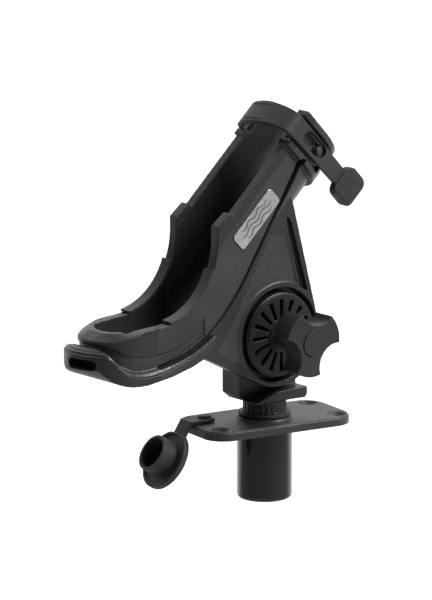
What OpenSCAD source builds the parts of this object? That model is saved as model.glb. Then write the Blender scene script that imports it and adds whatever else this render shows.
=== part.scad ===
// Rod holder on a flush deck mount. Origin: centre of the deck plate's underside, on the socket's axis.
// +X runs along the plate, +Z up. The holder is drawn in its own frame, whose origin is the tilt pivot:
// +X is the level direction in the holder's plane, -Y the side with the knob and +Z up.

/* [Deck mount] */
// Length of the deck plate
plate_l = 97; // [90:1:110]
// Width of the deck plate
plate_w = 50; // [48:1:60]
// Thickness of the deck plate
plate_t = 5.4; // [4.5:0.1:7]
// Corner radius of the deck plate
plate_corner_r = 13; // [8:1:18]
// Screw hole spacing along the plate
hole_dx = 79; // [76:1:83]
// Screw hole spacing across the plate
hole_dy = 32; // [30:1:34]
// Screw hole diameter
hole_d = 5.4; // [4.5:0.1:6]
// Outside diameter of the socket tube
tube_d = 32.4; // [31:0.1:34]
// How far the socket tube reaches below the deck face
tube_drop = 43; // [30:1:50]

/* [Post and head] */
// Diameter of the post's fluted collar
post_d = 25.7; // [24:0.1:27]
// Height of the tilt pivot above the deck face
pivot_h = 56.6; // [54:0.1:65]
// Swivel of the holder on the plate as stored
swivel = 8.5; // [-45:0.5:45]
// Number of flutes round the collar
flutes = 24; // [12:1:36]

/* [Cradle] */
// Slope of the rod trough as stored
trough_slope = 43; // [42:0.5:44]
// Outside width of the trough
trough_w = 44.5; // [43:0.5:46]
// Wall thickness of the trough
wall = 6.5; // [6:0.5:7]
// Depth of the trough below its rails
trough_depth = 39.5; // [39:0.5:40]
// Radius of the round foot of the side web
web_r = 31; // [30:0.5:32]

/* [Clutch and knob] */
// Radius of the ribbed clutch disc
disc_r = 25; // [23:0.5:26]
// Number of slots in the clutch disc
disc_slots = 16; // [12:1:20]
// Radius over the knob's lobes
knob_r = 20; // [17:0.5:21]
// Diameter of the pivot bolt
bolt_d = 8; // [6:0.5:9]

/* [Strap and cap] */
// Width of the strap's tail
tail_w = 12.5; // [11.5:0.1:12.6]
// Thickness of the strap
strap_t = 3.4; // [3:0.1:3.5]
// Angle that the cap hangs below level
cap_droop = 58; // [40:1:75]
// Outside diameter of the cap's flange
cap_d = 36; // [32:1:38]

/* [Hidden] */
$fn = 96;

black = [0.10, 0.10, 0.11];
rubber = [0.07, 0.07, 0.07];
steel = [0.72, 0.73, 0.75];
silver = [0.85, 0.86, 0.88];
brass = [0.72, 0.60, 0.32];

eps = 0.05;
gap = 0.35; // between pieces on different bodies
run = 0.05; // radial clearance of a running fit

// ---- deck mount sizes
bore_r = post_d / 2 + run;
tube_r = tube_d / 2;
tube_wall = 3;
spigot_r = tube_r - 1; // tube's upper end, seated in the plate
sink_r = 5.85; // countersink
boss_r = 16.6;
boss_top = plate_t + 1.2;
ring_r = 15.4;
ring_t = 1.9;
ring_z = boss_top + gap;
hole_places = [for (x = [-1, 1], y = [-1, 1]) [x * hole_dx / 2, y * hole_dy / 2]];

// ---- tether and cap sizes
tether_y = 6.5;
tether_w = 12;
tether_t = 2;
anchor_x = -37;
bend_x = -plate_l / 2 - 0.6;
bend_z = plate_t + gap + tether_t / 2;
knuckle_r = 1.4;
flange_reach = 25.5;
flange_t = 2.2;
rim_t = 3.6;
cup_r = 11.1;
cup_h = 13;
cup_wall = 1.8;

// ---- holder frame sizes: n counts towards the knob, so n = -y
near_n = 15.5;
far_n = near_n - trough_w;
mid_n = (near_n + far_n) / 2;
out_r = trough_w / 2;
in_r = out_r - wall;
axis_t = trough_depth - out_r; // depth of the trough's round bottom axis
rail_0 = [4, 112.8]; // where the rib meets the near rail
end_s = 22.5; // trough's open end
u = [cos(trough_slope), sin(trough_slope)];
d = [sin(trough_slope), -cos(trough_slope)];
nose_p = -127.5 + out_r; // centre of the round nose
lip_r = out_r + 3;
lip_p = -136.8 + lip_r;
lip_steps = [[0.3, 0], [0.6, 0.7], [0.85, 1.7], [1, 3.4]]; // share of the lip's reach, and drop
mouth = [5.6, 19, 2.6]; // recess in the lip's front: height, width and corner radius
rib_s = [-1.4, 2.6];
rib_foot = 7; // the rib is wider at its bottom
flange_s = [18.6, end_s];
flange_up = 3.4; // how far the flange stands above the near rail
collar_r = out_r + 2.6;
ear_s = [-67.2, -55.6]; // lower and upper end of the raised ears
ear_up = [4.2, 3.2];

badge_s = -45.4;
badge_depth = 14;
badge_l = 38;
badge_w = 11.4;

tongue_n = [-13.1, 3];
web_n = [3 + gap, 13.6];
ledge_n = 13.6;
head_p = 21.4;
head_z = -39.5;
tongue_top_r = 24;
pocket_r = 28;
pocket_n = 6;
disc_n = [pocket_n, 15.3];
knob_n = [30, 44];
hub_r = 7.2;
peg_st = [11.3, 19.6];
peg_r = [3.9, 2.2]; // at its foot and its tip
peg_n = 19;
tail_n = near_n + 0.6;
turn_depth = -4.7; // depth of the bend between arch and tail
pin_at = [far_n - 0.3, 1.5]; // n and depth of the strap's hinge pin
pin_r = 1.6;
barrel_r = 2.7;
pin_s = [rib_s[1] - 2.5, flange_s[0] + 2.2];

// ---- helpers
function st(s, t) = rail_0 + s * u + t * d;
function bezier(a, b, c, e, n) = [
    for (i = [0:n]) let (k = i / n)
        pow(1 - k, 3) * a + 3 * k * pow(1 - k, 2) * b + 3 * k * k * (1 - k) * c + pow(k, 3) * e
];
function arc(centre, r, from, to, n) = [
    for (i = [0:n]) let (a = from + (to - from) * i / n) centre + r * [cos(a), sin(a)]
];

// puts the holder frame in place on the deck mount
module on_mount() {
    translate([0, 0, pivot_h]) rotate([0, 0, swivel]) children();
}

// a side outline, in level and height, extruded between two distances towards the knob
module side(n0, n1) {
    translate([0, -n0, 0]) rotate([90, 0, 0]) linear_extrude(n1 - n0) children();
}

// a cylinder along the pivot's axis
module on_pivot(n0, n1, r) {
    translate([0, -n0, 0]) rotate([90, 0, 0]) cylinder(h = n1 - n0, r = r);
}

// a cross-section in n and depth, extruded along the trough
module along_trough(s0, s1) {
    translate([rail_0[0], 0, rail_0[1]]) rotate([0, -trough_slope, 0]) translate([s0, 0, 0])
        rotate([0, 90, 0]) rotate([0, 0, 90]) linear_extrude(s1 - s0) mirror([1, 0]) children();
}

// the same frame for solids: +X up the trough, -Y towards the knob, -Z deeper
module in_trough() {
    translate([rail_0[0], 0, rail_0[1]]) rotate([0, -trough_slope, 0]) children();
}

// U-shaped section of the trough with outer radius r about its bottom axis
module u_section(r, top) {
    translate([mid_n, -axis_t]) circle(r);
    translate([mid_n - r, -axis_t]) square([2 * r, axis_t + top]);
}

// ---- cradle outlines
top_nose = [[-140, 11], [-128, 11.2], [-117.6, 17], [-108, 16.6]];
top_curve = bezier([-91.5, 17.4], [-64, 17.8], [-45.5, 40], st(ear_s[0], -ear_up[0]), 20);
ear = [st(ear_s[1], -ear_up[1]), st(ear_s[1] + 0.6, 0)];
top_edge = concat(top_nose, top_curve, ear, [st(end_s, 0)]);
groove_line = concat(
    [[-140, 8.2], [-134, 8.2]],
    bezier([-128, 8], [-121.5, 7.5], [-122, -11], [-92, -6.2], 12),
    bezier([-92, -6.2], [-60, -0.5], [-42, 15], [-26, 39], 12),
    [[-14.5, 56.8], [3, 84.2], [14.3, 102.3]]
);
rim_line = concat(
    bezier([-58, 20], [-66, 5], [-84, -1], [-110, 3], 12),
    [[-115, 4.8], [-120, 7.6], [-125, 9.6], [-129, 10.2], [-140, 10.4]]
);
bottom_line = concat(
    [[-140, -4.2], [-132.4, -3.6]],
    bezier([-130.4, -4], [-126, -10.5], [-119, -15], [-101, -14.4], 8),
    [[-84.2, -12.1], [-69, -8.4], [-59.2, -4.5]]
);
web_foot = [-59.2, -4.5];
web_low = 243; // direction in which the web's lower edge faces
web_right = [29.7, 14.9]; // distance of the web's right edge from the pivot, and the way it faces
right_up = [-sin(web_right[1]), cos(web_right[1])];
right_out = [cos(web_right[1]), sin(web_right[1])];
right_foot = web_right[0] * right_out;
groove_w = 3.5;
groove_n = 11.3;

// everything between the cradle's top and bottom edges, seen from the side
module cradle_outline() {
    polygon(concat(top_edge, [st(end_s, 60), st(-100, trough_depth + 1)],
        [for (i = [len(bottom_line) - 1:-1:0]) bottom_line[i]]));
}

// the same line moved up (positive) or down across itself
function groove_at(lift) = [
    for (i = [0:len(groove_line) - 1]) let (
        a = groove_line[min(i + 1, len(groove_line) - 1)] - groove_line[max(i - 1, 0)],
        share = max(0.25, min(1, (groove_line[i][0] + 112) / 60)) // the groove narrows to the nose
    ) groove_line[i] + share * lift * [-a[1], a[0]] / norm(a)
];

module above_groove(lift) {
    shifted = groove_at(lift);
    polygon(concat(top_edge, [st(end_s, 16)], [for (i = [len(shifted) - 1:-1:0]) shifted[i]]));
}

module below_groove(drop) {
    polygon(concat([for (q = groove_line) q - [0, drop]], [[20, -60], [-150, -60]]));
}

// plan of a wall that runs round the nose
module hairpin(centre_p, r) {
    translate([centre_p, -mid_n]) circle(r);
    translate([centre_p, -mid_n - r]) square([-52 - centre_p, 2 * r]);
}

module tall_hairpin(centre_p, r) {
    translate([0, 0, -40]) linear_extrude(130) hairpin(centre_p, r);
}

// dark groove between the side panel and what lies below it
module groove_band() {
    upper = groove_at(groove_w / 2);
    lower = groove_at(-groove_w / 2);
    keep = [for (i = [0:len(upper) - 1]) if (upper[i][0] > -98) i];
    polygon(concat([for (i = keep) upper[i]], [st(2.5, 17)],
        [for (k = [len(keep) - 1:-1:0]) lower[keep[k]]]));
}

module web_outline() {
    polygon(concat(
        [for (q = groove_line) if (q[0] > web_foot[0]) q],
        [st(1, 20), right_foot + 82 * right_up, right_foot],
        arc([0, 0], web_r, web_right[1] - acos(web_right[0] / web_r), web_low - 360, 20),
        [web_foot]
    ));
}

// point at a distance x from the pivot's upright that runs parallel to the web's right edge
function by_edge(x, y) = x * right_out + y * right_up;

// textured panel of the web, inside its smooth rims
module web_recess() {
    low = web_r - 3;
    polygon([
        by_edge(web_right[0] - 9.4, 55), by_edge(web_right[0] - 9.4, -4),
        low * [cos(web_low), sin(web_low)], [-46.5, -4.2], [-38.5, 7.6], [-23.4, 31.5], [-5.2, 60]
    ]);
}

// deep groove just inside the web's right edge
module edge_groove() {
    polygon([
        by_edge(web_right[0] - 7.8, 0), by_edge(web_right[0] - 2.8, 0), by_edge(web_right[0] - 4.3, 60),
        by_edge(web_right[0] - 5, 64.4), by_edge(web_right[0] - 7, 65), by_edge(web_right[0] - 7.8, 61)
    ]);
}

module cradle() color(black) on_mount() difference() {
    union() {
        // straight trough
        intersection() {
            side(far_n, near_n) cradle_outline();
            along_trough(-125, end_s) u_section(out_r, 10);
            translate([-62, -100, -60]) cube([200, 200, 300]);
        }
        // wall round the nose
        intersection() {
            side(far_n - 2, near_n + 2) cradle_outline();
            tall_hairpin(nose_p, out_r - 1);
        }
        // smooth top rim, panel and lower lip, each a little prouder than the wall behind it
        intersection() {
            side(far_n, near_n) polygon(concat([for (q = top_edge) if (q[0] < -40) q],
                [st(-57, 6)], rim_line));
            union() {
                tall_hairpin(nose_p, out_r);
                side(far_n, near_n) translate([-60, -40]) square(200);
            }
        }
        for (f = lip_steps) intersection() {
            side(far_n - 8, near_n + 8) intersection() {
                cradle_outline();
                below_groove(f[1]);
            }
            tall_hairpin(nose_p + (lip_p - nose_p) * f[0], out_r + (lip_r - out_r) * f[0]);
        }
        // flat side panels down to the groove
        for (n0 = [near_n - 8, far_n]) side(n0, n0 + 8) intersection() {
            above_groove(groove_w / 2);
            polygon([[-58, -20], [60, 60], st(rib_s[1] - 1, 40), st(rib_s[1] - 1, -9), [-58, 100]]);
        }
        // side web that carries the pivot
        side(web_n[0], web_n[1]) web_outline();
        // rib and end flange round the trough
        along_trough(rib_s[0], rib_s[1]) u_section(collar_r, 0.6);
        along_trough(flange_s[0], flange_s[1]) {
            u_section(collar_r, 0);
            translate([near_n - wall, -5]) square([mid_n + collar_r - near_n + wall, 5 + flange_up]);
        }
        along_trough(rib_s[1] - 1, rib_foot) intersection() {
            u_section(collar_r, 0);
            translate([mid_n - 30, -80]) square([60, 80 - 30]);
        }
        // strap peg on the near wall
        in_trough() translate([peg_st[0], -tail_n + 1, -peg_st[1]]) rotate([90, 0, 0])
            cylinder(h = peg_n - tail_n + 1, r1 = peg_r[0], r2 = peg_r[1]);
    }
    // rod space of the trough, the open bottom behind the nose, and the recesses
    along_trough(-150, end_s + 1) u_section(in_r, 60);
    intersection() {
        tall_hairpin(nose_p + 4, in_r);
        translate([-200, -100, -60]) cube([145, 200, 300]);
    }
    translate([-145, 1.5, -0.3]) rotate([0, 90, 0]) linear_extrude(17.5)
        rounded(mouth[0], mouth[1], mouth[2]);
    side(web_n[1] - 0.6, near_n + 9) difference() {
        web_recess();
        circle(web_r);
    }
    side(web_n[1] - 3.4, near_n + 9) difference() {
        edge_groove();
        circle(web_r);
    }
    side(groove_n, near_n + 9) groove_band();
    on_pivot(pocket_n, near_n + 9, pocket_r);
    on_pivot(web_n[0] - 1, near_n, bolt_d / 2 + run);
    // shallow seat of the badge
    in_trough() translate([badge_s, -near_n + 0.5, -badge_depth]) rotate([90, 0, 0])
        linear_extrude(5) rounded(badge_l + 0.5, badge_w + 0.5, 2.4);
    // hole and room for the strap's pin and barrel
    along_trough(pin_s[0], pin_s[1]) translate([pin_at[0], -pin_at[1]]) circle(pin_r);
    along_trough(rib_s[1], flange_s[0]) {
        translate([pin_at[0], -pin_at[1]]) circle(barrel_r + gap);
        translate([far_n - 5, -pin_at[1]]) square([wall + 6, 20]);
    }
}

module rounded(w, h, r) {
    square([w - 2 * r, h], center = true);
    square([w, h - 2 * r], center = true);
    for (x = [-1, 1], y = [-1, 1]) translate([x * (w / 2 - r), y * (h / 2 - r)]) circle(r);
}

// ---- pieces on the cradle
module edge_pad(n0) color(rubber) on_mount() {
    span = [for (i = [2:14]) top_curve[i]];
    last = len(span) - 1;
    up = [for (i = [0:last]) let (a = span[min(i + 1, last)] - span[max(i - 1, 0)])
        span[i] + 1.7 * [-a[1], a[0]] / norm(a)];
    side(n0, n0 + 8) polygon(concat(span, [for (i = [last:-1:0]) up[i]]));
}
module near_pad() edge_pad(near_n - 7.2);
module far_pad() edge_pad(far_n - 0.8);

module badge() color(silver) on_mount() in_trough()
    translate([badge_s, -near_n + 0.5, -badge_depth]) rotate([90, 0, 0])
        linear_extrude(1.3) rounded(badge_l, badge_w, 2.2);

module clutch_disc() color(black) on_mount() difference() {
    union() {
        on_pivot(disc_n[0], disc_n[1] - 1.2, disc_r);
        on_pivot(disc_n[0], disc_n[1], disc_r - 0.8);
    }
    side(disc_n[1] - 5, disc_n[1] + 1) for (i = [0:disc_slots - 1]) rotate(i * 360 / disc_slots)
        polygon([[-0.8, 10], [0.8, 10], [1.4, 21.3], [-1.4, 21.3]]);
    on_pivot(disc_n[0] - 1, disc_n[1] + 1, bolt_d / 2 + run);
}

module strap_pin() color(steel) on_mount()
    along_trough(pin_s[0], pin_s[1]) translate([pin_at[0], -pin_at[1]]) circle(pin_r);

// ---- strap
arch_s = [rib_s[1] + 0.5, flange_s[0] - 0.4];
arch_half = strap_t / 2;
arch_top = 13;
fold_s = [3.4, 16.3]; // the arch narrows to this at the bend
// middle line of the arch in n and height, from the pin over to the bend
arch_line = let (apex = arch_top - arch_half, end = [tail_n + arch_half, -turn_depth]) concat(
    bezier([pin_at[0], -pin_at[1] + 2], [pin_at[0] + 0.7, 5.6], [-14, apex], [0, apex], 10),
    bezier([0, apex], [9, apex], end + [0, 5.6], end, 10)
);
function arch_side(w) = let (last = len(arch_line) - 1) [
    for (i = [0:last]) if (i != 10) let (
        a = arch_line[min(i == 9 ? 11 : i + 1, last)] - arch_line[max(i == 11 ? 9 : i - 1, 0)]
    ) arch_line[i] + w * [-a[1], a[0]] / norm(a)
];

module strap_arch() color(rubber) on_mount() difference() {
    outer = arch_side(arch_half);
    inner = arch_side(-arch_half);
    intersection() {
        union() {
            along_trough(arch_s[0], arch_s[1])
                polygon(concat(outer, [for (i = [len(inner) - 1:-1:0]) inner[i]]));
            along_trough(arch_s[0], arch_s[1]) translate([pin_at[0], -pin_at[1]]) circle(barrel_r);
        }
        in_trough() translate([0, 0, -30]) linear_extrude(60) polygon([
            [arch_s[0] - 1, 60], [arch_s[1] + 1, 60], [arch_s[1], 5], [fold_s[1], -tail_n - strap_t],
            [fold_s[1], -30], [fold_s[0], -30], [fold_s[0], -tail_n - strap_t], [arch_s[0], 5]
        ]);
    }
    along_trough(arch_s[0] - 1, arch_s[1] + 1) translate([pin_at[0], -pin_at[1]]) circle(pin_r + run);
}

tab_w = 20.3;
tab_l = 17.5;
tab_at = [-0.6, 31.4]; // tab's middle, along the trough and down from the peg
tail_end = [-5.4, 4.6]; // the tail's edges where it meets the tab
slot_up = 12.2; // slot's upper end above the peg
slot_r = peg_r[0] + 0.5;
module strap_tail() color(rubber) on_mount() in_trough() {
    top_y = peg_st[1] - turn_depth - gap;
    left = fold_s[0] + 0.2 - peg_st[0];
    translate([peg_st[0], -tail_n, -peg_st[1]]) rotate([90, 0, 0]) difference() {
        union() {
            linear_extrude(strap_t) polygon([
                [left, top_y], [left + tail_w, top_y],
                [tail_end[1], -tab_at[1] + 5], [tail_end[0], -tab_at[1] + 5]
            ]);
            linear_extrude(5) translate([tab_at[0], -tab_at[1]]) rounded(tab_w, tab_l, 5);
            for (i = [-3:3]) translate([tab_at[0] - tab_w / 2 + 2, -tab_at[1] + i * 2.2 - 0.5, 5 - eps])
                cube([tab_w - 4, 1.1, 0.9]);
        }
        translate([0, 0, -1]) linear_extrude(strap_t + 2) {
            circle(slot_r);
            translate([-0.5, slot_up]) circle(slot_r);
            polygon([[-slot_r, 0], [slot_r, 0], [slot_r - 0.5, slot_up], [-slot_r - 0.5, slot_up]]);
        }
    }
}

// ---- knob and its hardware
module on_knob() { on_mount() children(); }
module knob_washer() color(black) on_knob() difference() {
    on_pivot(disc_n[1] + 0.1, disc_n[1] + 1.5, 9);
    on_pivot(disc_n[1] - 1, disc_n[1] + 3, bolt_d / 2 + run);
}
module knob() color(black) on_knob() difference() {
    union() {
        on_pivot(disc_n[1] + 1.5, knob_n[1] - 2, hub_r);
        side(knob_n[0], knob_n[1]) difference() {
            circle(knob_r);
            for (a = [80, 200, 320]) rotate(a) translate([23.5, 0]) circle(13);
        }
    }
    on_pivot(disc_n[1], 38, 6);
    on_pivot(knob_n[1] - 1.2, knob_n[1] + 1, 7.4);
}
module knob_insert() color(brass) on_knob() difference() {
    on_pivot(disc_n[1] + 1.5, 38, 6);
    on_pivot(disc_n[1], 39, bolt_d / 2 + run);
}
module knob_cap() color(black) on_knob() on_pivot(knob_n[1] - 1.2, knob_n[1] + 0.6, 7.4);

// ---- post, head and pivot bolt
module swivel_post() color(black) difference() {
    union() {
        translate([0, 0, -30]) cylinder(h = pivot_h + head_z + 30 + 1, r = post_d / 2);
        translate([0, 0, -34]) cylinder(h = 4, r1 = post_d / 2 - 3, r2 = post_d / 2);
        on_mount() {
            // tongue behind the web, round at the top
            side(tongue_n[0], tongue_n[1]) {
                translate([-head_p, head_z + 4]) square([2 * head_p, -head_z - 4 - 14]);
                polygon([
                    [-head_p + 5, head_z], [head_p - 5, head_z],
                    [head_p, head_z + 4.1], [-head_p, head_z + 4.1]
                ]);
                intersection() {
                    circle(tongue_top_r);
                    translate([-head_p, -20]) square([2 * head_p, 60]);
                }
            }
            // ledge under the web
            side(tongue_n[1] - 1, ledge_n) polygon([[-18.4, head_z], [head_p - 2, head_z - 0.8],
                [head_p, head_z + 1], [head_p, -33.8], [0.5, -34], [-18.4, -38.6]]);
        }
    }
    // flutes round the collar
    for (i = [0:flutes - 1]) rotate([0, 0, i * 360 / flutes])
        translate([post_d / 2 + 0.5, 0, ring_z + ring_t + 0.6]) cylinder(h = 5.2, r = 1.1, $fn = 24);
    // seat of the post ring
    translate([0, 0, ring_z - 0.1]) difference() {
        cylinder(h = ring_t + 0.2, r = 20);
        cylinder(h = ring_t + 0.2, r = post_d / 2 - 0.6);
    }
    on_mount() {
        on_pivot(tongue_n[0] - 1, tongue_n[1] + 1, bolt_d / 2 + run);
        // clutch teeth: radial notches in the tongue's face
        for (i = [0:23]) rotate([0, i * 15, 0]) translate([-0.8, -tongue_n[1] - 1, 9]) cube([1.6, 2, 11]);
    }
}

module post_ring() color(rubber) translate([0, 0, ring_z]) difference() {
    cylinder(h = ring_t, r = ring_r);
    translate([0, 0, -1]) cylinder(h = ring_t + 2, r = post_d / 2 - 0.6 + run);
}

module pivot_bolt() color(steel) on_mount() {
    on_pivot(tongue_n[0] - 1.5, 37, bolt_d / 2);
    translate([0, -(tongue_n[0] - 1.5), 0]) rotate([-90, 0, 0]) intersection() {
        cylinder(h = 4, r = 9);
        translate([0, 0, -8.8]) sphere(r = 12.6);
    }
}
module bolt_washer() color(steel) on_mount() difference() {
    on_pivot(tongue_n[0] - 1.5, tongue_n[0], 10);
    on_pivot(tongue_n[0] - 3, tongue_n[0] + 3, bolt_d / 2 + run);
}

// ---- deck plate, tube and cap
module deck_plate() color(black) difference() {
    union() {
        linear_extrude(plate_t - 1) rounded(plate_l, plate_w, plate_corner_r);
        linear_extrude(plate_t) rounded(plate_l - 1.6, plate_w - 1.6, plate_corner_r - 0.8);
        cylinder(h = boss_top, r = boss_r);
    }
    for (q = hole_places) translate([q[0], q[1], 0]) {
        translate([0, 0, -1]) cylinder(h = plate_t + 2, r = hole_d / 2);
        translate([0, 0, plate_t - 3]) cylinder(h = 3 + eps, r1 = hole_d / 2, r2 = sink_r);
    }
    translate([0, 0, -1]) cylinder(h = 20, r = bore_r);
    translate([0, 0, -1]) cylinder(h = 3.4, r = spigot_r);
    translate([0, 0, -1]) cylinder(h = 1.5, r = tube_r + 0.6);
    // hole that the tether's button snaps into
    translate([anchor_x, tether_y, -1]) cylinder(h = plate_t + 2, r = 3);
}

module socket_tube() color(black) difference() {
    translate([0, 0, -tube_drop]) union() {
        translate([0, 0, 1.5]) cylinder(h = tube_drop - 2.1, r = tube_r);
        translate([0, 0, 1.5]) cylinder(h = tube_drop + 0.9, r = spigot_r);
        cylinder(h = 1.5, r1 = tube_r - 1.5, r2 = tube_r);
    }
    translate([0, 0, -tube_drop + tube_wall]) cylinder(h = tube_drop + 5, r = bore_r);
    translate([0, 0, -tube_drop - 1]) cylinder(h = 10, r = 4);
}

module tether_button() color(rubber) translate([anchor_x, tether_y, 0]) {
    translate([0, 0, 0.4]) cylinder(h = plate_t + tether_t + gap - 0.4, r = 3);
    translate([0, 0, plate_t + tether_t + gap]) cylinder(h = 1.6, r1 = 4.6, r2 = 3.2);
}

module tether_root() color(rubber) difference() {
    union() {
        translate([anchor_x, tether_y, plate_t + gap]) cylinder(h = tether_t, r = tether_w / 2);
        translate([bend_x + knuckle_r + 0.4, tether_y - tether_w / 2, plate_t + gap])
            cube([anchor_x - bend_x - knuckle_r - 0.4, tether_w, tether_t]);
    }
    translate([anchor_x, tether_y, 0]) cylinder(h = 20, r = 3);
}

// cap frame: origin at the bend, +X down the hanging tether, +Z the way the plug faces
module hanging() {
    translate([bend_x, tether_y, bend_z]) rotate([0, 180 - cap_droop, 0]) rotate([180, 0, 0]) children();
}
module cap_tether() color(rubber) hanging() {
    rotate([90, 0, 0]) translate([0, 0, -tether_w / 2]) cylinder(h = tether_w, r = knuckle_r - 0.3);
    translate([0, -tether_w / 2, -tether_t / 2]) cube([flange_reach - cap_d / 2 + 1.2, tether_w, tether_t]);
}
module cap_plug() color(rubber) hanging() translate([flange_reach, 0, -1]) difference() {
    union() {
        cylinder(h = flange_t, r = cap_d / 2);
        difference() {
            cylinder(h = rim_t, r = cap_d / 2);
            translate([0, 0, -1]) cylinder(h = 10, r = cap_d / 2 - 1.8);
        }
        cylinder(h = cup_h, r = cup_r);
    }
    translate([0, 0, 2]) cylinder(h = 20, r = cup_r - cup_wall);
    translate([-cap_d / 2 - 1, -tether_w / 2, -1]) cube([2.2, tether_w, 10]);
}

deck_plate();
socket_tube();
tether_button();
tether_root();
cap_tether();
cap_plug();
post_ring();
swivel_post();
pivot_bolt();
bolt_washer();
cradle();
clutch_disc();
near_pad();
far_pad();
badge();
strap_pin();
strap_arch();
strap_tail();
knob_washer();
knob();
knob_insert();
knob_cap();
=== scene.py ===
"""Looks of the rod holder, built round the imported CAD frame. Metres, +Z up, row frame.

Places on the holder are given in mm in its own frames. The holder frame is p, level in the
holder's plane, n, towards the knob, and z, up from the tilt pivot. The trough frame is s, up the
trough, t, depth below the rails, and n.
"""
import math

import bmesh
import bpy
import numpy as np
from mathutils import Matrix, Vector


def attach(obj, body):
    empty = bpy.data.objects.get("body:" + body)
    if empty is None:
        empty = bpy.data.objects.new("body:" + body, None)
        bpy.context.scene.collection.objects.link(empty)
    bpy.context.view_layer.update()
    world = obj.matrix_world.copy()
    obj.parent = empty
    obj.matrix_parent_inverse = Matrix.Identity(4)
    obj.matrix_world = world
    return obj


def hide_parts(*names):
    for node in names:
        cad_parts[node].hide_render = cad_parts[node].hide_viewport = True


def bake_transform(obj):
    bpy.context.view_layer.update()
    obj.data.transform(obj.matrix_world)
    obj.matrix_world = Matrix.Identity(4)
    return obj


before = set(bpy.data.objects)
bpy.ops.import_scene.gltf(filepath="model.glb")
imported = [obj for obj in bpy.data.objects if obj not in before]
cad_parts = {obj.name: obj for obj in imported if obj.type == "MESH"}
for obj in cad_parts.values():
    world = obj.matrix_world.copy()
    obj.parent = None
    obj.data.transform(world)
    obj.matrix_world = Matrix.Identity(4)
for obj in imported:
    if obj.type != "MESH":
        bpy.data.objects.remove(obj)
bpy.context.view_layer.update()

MM = 0.001
SWIVEL = math.radians(8.5)
SLOPE = math.radians(43)
PIVOT_Z = 56.6
RAIL = (4.0, 112.8)  # p and z of the trough frame's origin
NEAR, FAR = 15.5, -29.0  # n of the trough's outer sides
MID = (NEAR + FAR) / 2
OUT_R = (NEAR - FAR) / 2
NOSE = -105.25  # p of the round nose's centre


def hold(p, n, z):
    """A point of the holder frame in the row frame (m)."""
    c, s = math.cos(SWIVEL), math.sin(SWIVEL)
    return Vector((0, 0, PIVOT_Z)) * MM + MM * Vector((p * c + n * s, p * s - n * c, z))


def trough(s, t, n):
    """A point of the trough frame in the row frame (m)."""
    p = RAIL[0] + s * math.cos(SLOPE) + t * math.sin(SLOPE)
    z = RAIL[1] + s * math.sin(SLOPE) - t * math.cos(SLOPE)
    return hold(p, n, z)


def turn_to_holder(rows):
    """Row-frame directions (N x 3) along the holder's p, n and z."""
    c, s = math.cos(SWIVEL), math.sin(SWIVEL)
    x, y, z = rows.T
    return np.stack((x * c + y * s, x * s - y * c, z), 1)


def to_holder(rows):
    """Row-frame points (m, N x 3) as holder p, n, z in mm."""
    return turn_to_holder(rows / MM) - np.array([0, 0, PIVOT_Z])


def depth_of(pnz):
    """Depth t below the rails of holder-frame points."""
    return (pnz[:, 0] - RAIL[0]) * math.sin(SLOPE) - (pnz[:, 2] - RAIL[1]) * math.cos(SLOPE)


def nose_reach(pnz, centre):
    """Distance from the trough's middle plane, and round the nose from its centre."""
    return np.hypot(np.minimum(pnz[:, 0] - centre, 0), pnz[:, 1] - MID)


# ---- materials
class Nodes:
    def __init__(self, name):
        self.mat = bpy.data.materials.new(name)
        self.mat.use_nodes = True
        self.tree = self.mat.node_tree
        self.out = next(n for n in self.tree.nodes if n.type == "BSDF_PRINCIPLED")
        self.co = self.add("ShaderNodeTexCoord").outputs["Object"]

    def add(self, kind, **values):
        n = self.tree.nodes.new(kind)
        for k, v in values.items():
            if k in n.inputs:
                n.inputs[k].default_value = v
            else:
                setattr(n, k, v)
        return n

    def link(self, a, b):
        self.tree.links.new(a, b)

    def noise(self, scale, detail, rough=0.5, stretch=None):
        n = self.add("ShaderNodeTexNoise", Scale=scale, Detail=detail, Roughness=rough)
        if stretch:
            m = self.add("ShaderNodeMapping", Scale=stretch)
            self.link(self.co, m.inputs["Vector"])
            self.link(m.outputs["Vector"], n.inputs["Vector"])
        else:
            self.link(self.co, n.inputs["Vector"])
        return n.outputs["Fac"]

    def ramp(self, fac, *stops):
        """stops are two pairs of (position, colour)."""
        r = self.add("ShaderNodeValToRGB")
        for e, (at, colour) in zip(r.color_ramp.elements, stops):
            e.position = at
            e.color = (*colour, 1)
        self.link(fac, r.inputs["Fac"])
        return r.outputs["Color"]

    def spread(self, fac, lo, hi, a, b):
        """Maps a..b to lo..hi."""
        m = self.add("ShaderNodeMapRange")
        for socket, value in (("From Min", a), ("From Max", b), ("To Min", lo), ("To Max", hi)):
            m.inputs[socket].default_value = value
        self.link(fac, m.inputs["Value"])
        return m.outputs["Result"]

    def bump(self, *layers):
        """layers are (height output, strength, distance in m)."""
        last = None
        for height, strength, distance in layers:
            b = self.add("ShaderNodeBump", Strength=strength, Distance=distance)
            self.link(height, b.inputs["Height"])
            if last is not None:
                self.link(last, b.inputs["Normal"])
            last = b.outputs["Normal"]
        self.link(last, self.out.inputs["Normal"])


def polymer(name, dark, light, rough, grain, strength, distance, specular=0.5, coat=0.0):
    """grain is the fine bump's scale, with its strength and distance in m."""
    m = Nodes(name)
    fine = m.noise(grain, 2.0, 0.6)
    wide = m.noise(38, 3.0)
    mid = m.noise(420, 4.0, 0.6)
    m.link(m.ramp(wide, (0.3, dark), (0.72, light)), m.out.inputs["Base Color"])
    m.link(m.spread(mid, rough[0], rough[1], 0.3, 0.7), m.out.inputs["Roughness"])
    m.out.inputs["Specular IOR Level"].default_value = specular
    if coat:
        m.out.inputs["Coat Weight"].default_value = coat
        m.out.inputs["Coat Roughness"].default_value = 0.22
    m.bump((mid, 0.12, 0.0002), (fine, strength, distance))
    return m.mat


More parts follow.
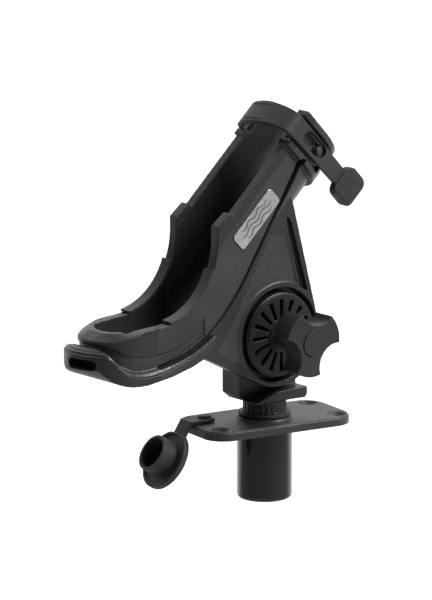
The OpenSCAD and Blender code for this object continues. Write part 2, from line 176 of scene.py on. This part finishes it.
def metal(name, dark, light, rough, stretch=(1, 9, 1), strength=0.12):
    m = Nodes(name)
    brush = m.noise(90, 4.0, 0.6, stretch)
    wide = m.noise(60, 2.0)
    m.link(m.ramp(brush, (0.25, dark), (0.75, light)), m.out.inputs["Base Color"])
    m.link(m.spread(wide, rough[0], rough[1], 0.3, 0.7), m.out.inputs["Roughness"])
    m.out.inputs["Metallic"].default_value = 1.0
    m.bump((brush, strength, 0.00004))
    return m.mat


SATIN = polymer("satin_nylon", (0.026, 0.026, 0.0255), (0.034, 0.034, 0.033),
                (0.34, 0.44), 5200, 0.10, 0.00003)
SPARK = polymer("spark_nylon", (0.032, 0.032, 0.0305), (0.050, 0.050, 0.048),
                (0.36, 0.46), 1200, 0.9, 0.0005)
DARK = polymer("disc_nylon", (0.012, 0.012, 0.012), (0.018, 0.018, 0.018),
               (0.36, 0.46), 3000, 0.15, 0.00004)
# near-black nylon for the trough's inside: painted shade where little light reaches
INSIDE_SHADE = polymer("inner_nylon_painted_shade", (0.008, 0.008, 0.008), (0.012, 0.012, 0.012),
               (0.50, 0.62), 3000, 0.25, 0.00006)
GLOSS = polymer("glossy_tube", (0.004, 0.004, 0.004), (0.006, 0.006, 0.006),
                (0.16, 0.24), 900, 0.03, 0.00003, coat=0.1)
RUBBER = polymer("moulded_rubber", (0.038, 0.038, 0.038), (0.052, 0.052, 0.052),
                 (0.46, 0.58), 3600, 0.28, 0.00005, specular=0.36)
PAD = polymer("edge_pad_rubber", (0.035, 0.035, 0.036), (0.05, 0.05, 0.051),
              (0.40, 0.52), 3600, 0.2, 0.00004)
STEEL = metal("stainless", (0.52, 0.53, 0.55), (0.72, 0.73, 0.75), (0.2, 0.34))
BRASS = metal("brass", (0.55, 0.42, 0.18), (0.74, 0.60, 0.30), (0.25, 0.4))
SILVER = metal("badge_silver", (0.74, 0.745, 0.76), (0.90, 0.905, 0.92),
               (0.34, 0.46), (2, 1, 24), 0.06)
INK = polymer("badge_ink", (0.12, 0.12, 0.125), (0.18, 0.18, 0.185),
              (0.4, 0.5), 3000, 0.05, 0.00002)

FINE = 1.0
ROW_AXES = (Vector((1, 0, 0)), Vector((0, 1, 0)), Vector((0, 0, 1)))


# ---- meshes
def cad_copy(*nodes):
    """One bmesh holding these CAD nodes, in the row frame."""
    bm = bmesh.new()
    for n in nodes:
        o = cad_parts[n]
        part = o.data.copy()
        part.transform(o.matrix_world)
        bm.from_mesh(part)
        bpy.data.meshes.remove(part)
    return bm


def add_box(bm, centre, half, axes=ROW_AXES):
    """A box about centre (m). half is its three half lengths (mm) along the unit vectors axes."""
    for v in bmesh.ops.create_cube(bm, size=2.0)["verts"]:
        v.co = centre + sum((a * (h * MM * c) for a, h, c in zip(axes, half, v.co)), Vector())


def moulded(name, bm, voxel, rounds):
    """bm made into one closed skin, softened in rounds. voxel is in mm."""
    me = bpy.data.meshes.new(name)
    bmesh.ops.remove_doubles(bm, verts=bm.verts, dist=1e-6)
    bmesh.ops.scale(bm, vec=(1000, 1000, 1000), verts=bm.verts)
    bm.to_mesh(me)
    bm.free()
    o = bpy.data.objects.new(name, me)
    bpy.context.collection.objects.link(o)
    skin = o.modifiers.new("skin", "REMESH")
    skin.mode = "VOXEL"
    skin.voxel_size = voxel * FINE
    soften = o.modifiers.new("soften", "SMOOTH")
    soften.factor = 0.5
    soften.iterations = rounds
    dg = bpy.context.evaluated_depsgraph_get()
    done = bpy.data.meshes.new_from_object(o.evaluated_get(dg))
    o.modifiers.clear()
    o.data = done
    done.name = name
    bpy.data.meshes.remove(me)
    done.transform(Matrix.Scale(MM, 4))
    done.materials.clear()
    done.polygons.foreach_set("use_smooth", np.ones(len(done.polygons), bool))
    return o


def read_rows(items, field):
    """A vector field of mesh items as N x 3."""
    flat = np.empty(len(items) * 3)
    items.foreach_get(field, flat)
    return flat.reshape(-1, 3)


def paint(o, base, *pairs):
    """base covers o, and each pair is (material, mask of the faces that take it)."""
    index = np.zeros(len(o.data.polygons), np.int32)
    o.data.materials.append(base)
    for i, (mat, mask) in enumerate(pairs, 1):
        o.data.materials.append(mat)
        index[mask] = i
    o.data.polygons.foreach_set("material_index", index)


# cradle
cradle = moulded("cradle_shell", cad_copy("cradle"), 0.45, 3)

# the nose's top rim slopes outwards all round, where the frame has a plain ramp
BAND_LOW = 10.4  # z below which nothing moves
BLEND_FROM, BLEND_OVER = -98, 24  # p where the change starts, and the length it grows over
co = read_rows(cradle.data.vertices, "co")
h = to_holder(co)
ramp_top = np.interp(h[:, 0], [-128, -117.6, -108, BLEND_FROM], [11.2, 17.0, 16.6, 17.0])
cone_top = np.clip(11.6 + (OUT_R - nose_reach(h, NOSE)) * 0.62, 11.2, 15.8)
share = np.clip((BLEND_FROM - h[:, 0]) / BLEND_OVER, 0, 1)
share = share * share * (3 - 2 * share)
new_top = ramp_top + share * (np.minimum(cone_top, ramp_top) - ramp_top)
near_top = (h[:, 2] > BAND_LOW) & (h[:, 2] < 20) & (h[:, 0] < BLEND_FROM)
kept = (new_top - BAND_LOW) / (ramp_top - BAND_LOW)
co[:, 2] -= np.where(near_top, (h[:, 2] - BAND_LOW) * (1 - kept), 0) * MM
cradle.data.vertices.foreach_set("co", co.ravel())
cradle.data.update()

# spark-textured panels and web between smooth rims, and the trough's inside painted darker as shade
h = to_holder(read_rows(cradle.data.polygons, "center"))
normal = turn_to_holder(read_rows(cradle.data.polygons, "normal"))
depth = depth_of(h)
side_face = np.abs(normal[:, 1]) > 0.93
panel = side_face & (depth > 4.6) & (np.abs(h[:, 1] - MID) > 20.5) & (h[:, 0] > -92)
web = side_face & (np.abs(h[:, 1] - 13.0) < 0.35)
wall = np.abs(nose_reach(h, NOSE) - (OUT_R - 1)) < 0.35
wall &= (np.abs(normal[:, 2]) < 0.4) & (h[:, 0] < -58)
# faces inside the trough, which take the darker nylon as painted shade
shaded_inside = nose_reach(h, NOSE + 4) < 16.1
shaded_inside &= (depth > 1.2) & (depth < 37) & (h[:, 2] > -9)
paint(cradle, SATIN, (SPARK, panel | web | wall), (INSIDE_SHADE, shaded_inside))
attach(cradle, "cradle")
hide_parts("cradle")


def simple(name, node, voxel, rounds, mat, body):
    o = moulded(name, cad_copy(node), voxel, rounds)
    paint(o, mat)
    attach(o, body)
    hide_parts(node)
    return o


def repaint(o, mat, mask):
    """The faces in mask take a second material."""
    o.data.materials.append(mat)
    o.data.polygons.foreach_set("material_index", mask.astype(np.int32))


simple("clutch_disc_face", "clutch_disc", 0.3, 2, DARK, "cradle")
post = simple("post_and_head", "swivel_post", 0.4, 3, SATIN, "post")
simple("knob_body", "knob", 0.35, 5, SATIN, "knob")
simple("knob_cover", "knob_cap", 0.2, 3, SATIN, "knob")
plate = simple("deck_plate_body", "deck_plate", 0.35, 3, SPARK, "mount")
simple("socket_tube_body", "socket_tube", 0.45, 2, GLOSS, "mount")
simple("post_ring_body", "post_ring", 0.25, 3, RUBBER, "ring")
simple("tether_button_body", "tether_button", 0.2, 3, RUBBER, "mount")
simple("near_edge_pad", "near_pad", 0.3, 3, PAD, "cradle")
simple("far_edge_pad", "far_pad", 0.3, 3, PAD, "cradle")

# the plate's boss is satin, and the head's end faces have the spark texture
centre = read_rows(plate.data.polygons, "center")
repaint(plate, SATIN, np.hypot(centre[:, 0], centre[:, 1]) < 17.2 * MM)
h = to_holder(read_rows(post.data.polygons, "center"))
normal = turn_to_holder(read_rows(post.data.polygons, "normal"))
end_face = (np.abs(normal[:, 2]) < 0.2) & (np.abs(normal[:, 1]) < 0.2) & (h[:, 2] > -40)
repaint(post, SPARK, end_face)

# strap: one rubber moulding of arch and tail, with a row of ribs along each arch edge
TROUGH_AXES = (
    (trough(1, 0, 0) - trough(0, 0, 0)).normalized(),
    (trough(0, -1, 0) - trough(0, 0, 0)).normalized(),
    (trough(0, 0, 1) - trough(0, 0, 0)).normalized(),
)
bm = cad_copy("strap_arch", "strap_tail")
add_box(bm, trough(9.85, -4.6, 17.8), (6.25, 1.2, 1.7), TROUGH_AXES)
for s0 in (5.4, 15.9):
    for n in range(-19, 10, 2):
        rise = 13.0 - 0.0105 * (n + 3) ** 2
        add_box(bm, trough(s0, -rise + 0.35, n), (0.35, 0.45, 1.2), TROUGH_AXES)
strap = moulded("strap_moulding", bm, 0.24, 2)
paint(strap, RUBBER)
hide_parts("strap_arch", "strap_tail")
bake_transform(strap)

# cap and tether: one rubber moulding of root, tether and plug, with a small block added
bm = cad_copy("tether_root", "cap_tether", "cap_plug")
add_box(bm, Vector((-47.6, 6.5, 6.75)) * MM, (1.9, 6.0, 1.0))
cap_mesh = moulded("tethered_cap", bm, 0.3, 4)
paint(cap_mesh, RUBBER)
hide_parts("tether_root", "cap_tether", "cap_plug")
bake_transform(cap_mesh)

# badge: brushed plate with three plain wave lines
WAVE_STEPS = 60
WAVE_RISE = 0.85
WAVE_HALF = 0.85  # half the line's width at its middle
WAVE_PITCH = 3.0
BADGE_DEPTH = 14.0
BADGE_FACE = NEAR + 0.82  # n of the badge's face


def wave_line(bm, s0, s1, depth):
    rows = []
    for i in range(WAVE_STEPS + 1):
        k = i / WAVE_STEPS
        s = s0 + (s1 - s0) * k
        t = depth + WAVE_RISE * math.sin(k * math.pi * 5)
        w = WAVE_HALF * (0.25 + 0.75 * math.sin(math.pi * k) ** 0.5)
        section = ((-w, -0.3), (-w * 0.7, 0.12), (w * 0.7, 0.12), (w, -0.3))
        rows.append([bm.verts.new(trough(s, t + o, BADGE_FACE + z)) for o, z in section])
    for a, b in zip(rows, rows[1:]):
        for j in range(3):
            bm.faces.new((a[j], a[j + 1], b[j + 1], b[j]))
    for r in (rows[0], rows[-1]):
        bm.faces.new(r)


badge = moulded("badge_plate", cad_copy("badge"), 0.15, 3)
paint(badge, SILVER)
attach(badge, "cradle")
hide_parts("badge")
bm = bmesh.new()
for k in (-1, 0, 1):
    wave_line(bm, -60.0 + abs(k) * 2.5, -30.8 - abs(k) * 2.5, BADGE_DEPTH + k * WAVE_PITCH)
bmesh.ops.recalc_face_normals(bm, faces=bm.faces)
me = bpy.data.meshes.new("badge_waves")
bm.to_mesh(me)
bm.free()
waves = bpy.data.objects.new("badge_waves", me)
bpy.context.collection.objects.link(waves)
me.materials.append(INK)
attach(waves, "cradle")

# every CAD node has a finish; the small metal parts and the washer show as the CAD drew them
FINISH = {
    STEEL: ("pivot_bolt", "bolt_washer", "strap_pin"),
    BRASS: ("knob_insert",),
    SATIN: ("knob_washer", "cradle", "swivel_post", "knob", "knob_cap"),
    DARK: ("clutch_disc",),
    SPARK: ("deck_plate",),
    GLOSS: ("socket_tube",),
    RUBBER: ("post_ring", "tether_button", "strap_arch", "strap_tail",
             "tether_root", "cap_tether", "cap_plug"),
    PAD: ("near_pad", "far_pad"),
    SILVER: ("badge",),
}
for mat, nodes in FINISH.items():
    for node in nodes:
        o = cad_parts[node]
        o.data.materials.clear()
        o.data.materials.append(mat)

# ---- floor, light and camera
E, YAW = math.radians(12.5), math.radians(31)  # camera's height above level, and its turn
K = 0.585 * MM  # length that one image point covers at the plate
D = 3.5  # camera's distance
right = Vector((math.cos(YAW), -math.sin(YAW), 0))
ahead = Vector((math.sin(YAW) * math.cos(E), math.cos(YAW) * math.cos(E), -math.sin(E)))
above = right.cross(ahead)
target = Vector((0, 0, 0.10))
behind = (math.sin(YAW), math.cos(YAW), 0)

# pale floor that glows softly where it runs away behind the object, like a lit sweep
floor_mat = Nodes("pale_floor")
tone = floor_mat.ramp(floor_mat.noise(3, 2.0), (0.2, (0.62, 0.62, 0.62)), (0.8, (0.65, 0.65, 0.65)))
floor_mat.link(tone, floor_mat.out.inputs["Base Color"])
floor_mat.out.inputs["Roughness"].default_value = 0.9
floor_mat.out.inputs["Specular IOR Level"].default_value = 0.1
away = floor_mat.add("ShaderNodeVectorMath", operation="DOT_PRODUCT")
away.inputs[1].default_value = behind
floor_mat.link(floor_mat.co, away.inputs[0])
glow = floor_mat.spread(away.outputs["Value"], 0.0, 1.0, 0.45, 0.9)
floor_mat.out.inputs["Emission Color"].default_value = (1, 1, 1, 1)
floor_mat.link(glow, floor_mat.out.inputs["Emission Strength"])
me = bpy.data.meshes.new("floor")
me.from_pydata([(-5, -5, 0), (5, -5, 0), (5, 5, 0), (-5, 5, 0)], [], [(0, 1, 2, 3)])
floor = bpy.data.objects.new("floor", me)
floor.location = (0, 0, -0.36)
bpy.context.collection.objects.link(floor)
me.materials.append(floor_mat.mat)

# white sweep behind, dim room in front
world = bpy.data.worlds.new("studio")
bpy.context.scene.world = world
world.use_nodes = True
tree = world.node_tree
bg = next(n for n in tree.nodes if n.type == "BACKGROUND")
bg.inputs["Color"].default_value = (1.0, 1.0, 1.0, 1)
way = tree.nodes.new("ShaderNodeTexCoord").outputs["Generated"]
dot = tree.nodes.new("ShaderNodeVectorMath")
dot.operation = "DOT_PRODUCT"
dot.inputs[1].default_value = behind
tree.links.new(way, dot.inputs[0])
fade = tree.nodes.new("ShaderNodeMapRange")
for socket, value in (("From Min", 0.1), ("From Max", 0.8), ("To Min", 0.05), ("To Max", 1.0)):
    fade.inputs[socket].default_value = value
tree.links.new(dot.outputs["Value"], fade.inputs["Value"])
tree.links.new(fade.outputs["Result"], bg.inputs["Strength"])

# name, place from the target (ahead, right, above), size and power
for name, (a, r, u), (w, h), power in (
    ("key", (-0.55, 1.1, 1.0), (0.7, 0.7), 30),
    ("left", (-0.6, -1.1, 0.9), (0.6, 0.8), 3),
    ("top", (0.5, -0.2, 1.3), (1.0, 0.7), 2),
):
    light = bpy.data.lights.new(name, "AREA")
    light.shape = "RECTANGLE"
    light.size, light.size_y = w, h
    light.energy = power
    o = bpy.data.objects.new(name, light)
    o.location = target + ahead * a + right * r + above * u
    o.rotation_mode = "QUATERNION"
    o.rotation_quaternion = (target - o.location).to_track_quat("-Z", "Y")
    bpy.context.collection.objects.link(o)

IMAGE = (432, 600)
PLATE_AT = (264.5, 416)  # where the centre of the plate's top falls in the image
cam_data = bpy.data.cameras.new("camera")
cam = bpy.data.objects.new("camera", cam_data)
bpy.context.collection.objects.link(cam)
plate_top = Vector((0, 0, 5.4 * MM))
across, down = PLATE_AT[0] - IMAGE[0] / 2, PLATE_AT[1] - IMAGE[1] / 2
cam.location = plate_top - ahead * D - right * (across * K) + above * (down * K)
cam.rotation_mode = "QUATERNION"
cam.rotation_quaternion = Matrix((right, above, -ahead)).transposed().to_quaternion()
cam_data.sensor_fit = "VERTICAL"
cam_data.sensor_height = 36
cam_data.lens = cam_data.sensor_height * (D / K) / IMAGE[1]
cam_data.clip_end = 30
bpy.context.scene.camera = cam
bpy.context.scene.view_settings.view_transform = "Standard"
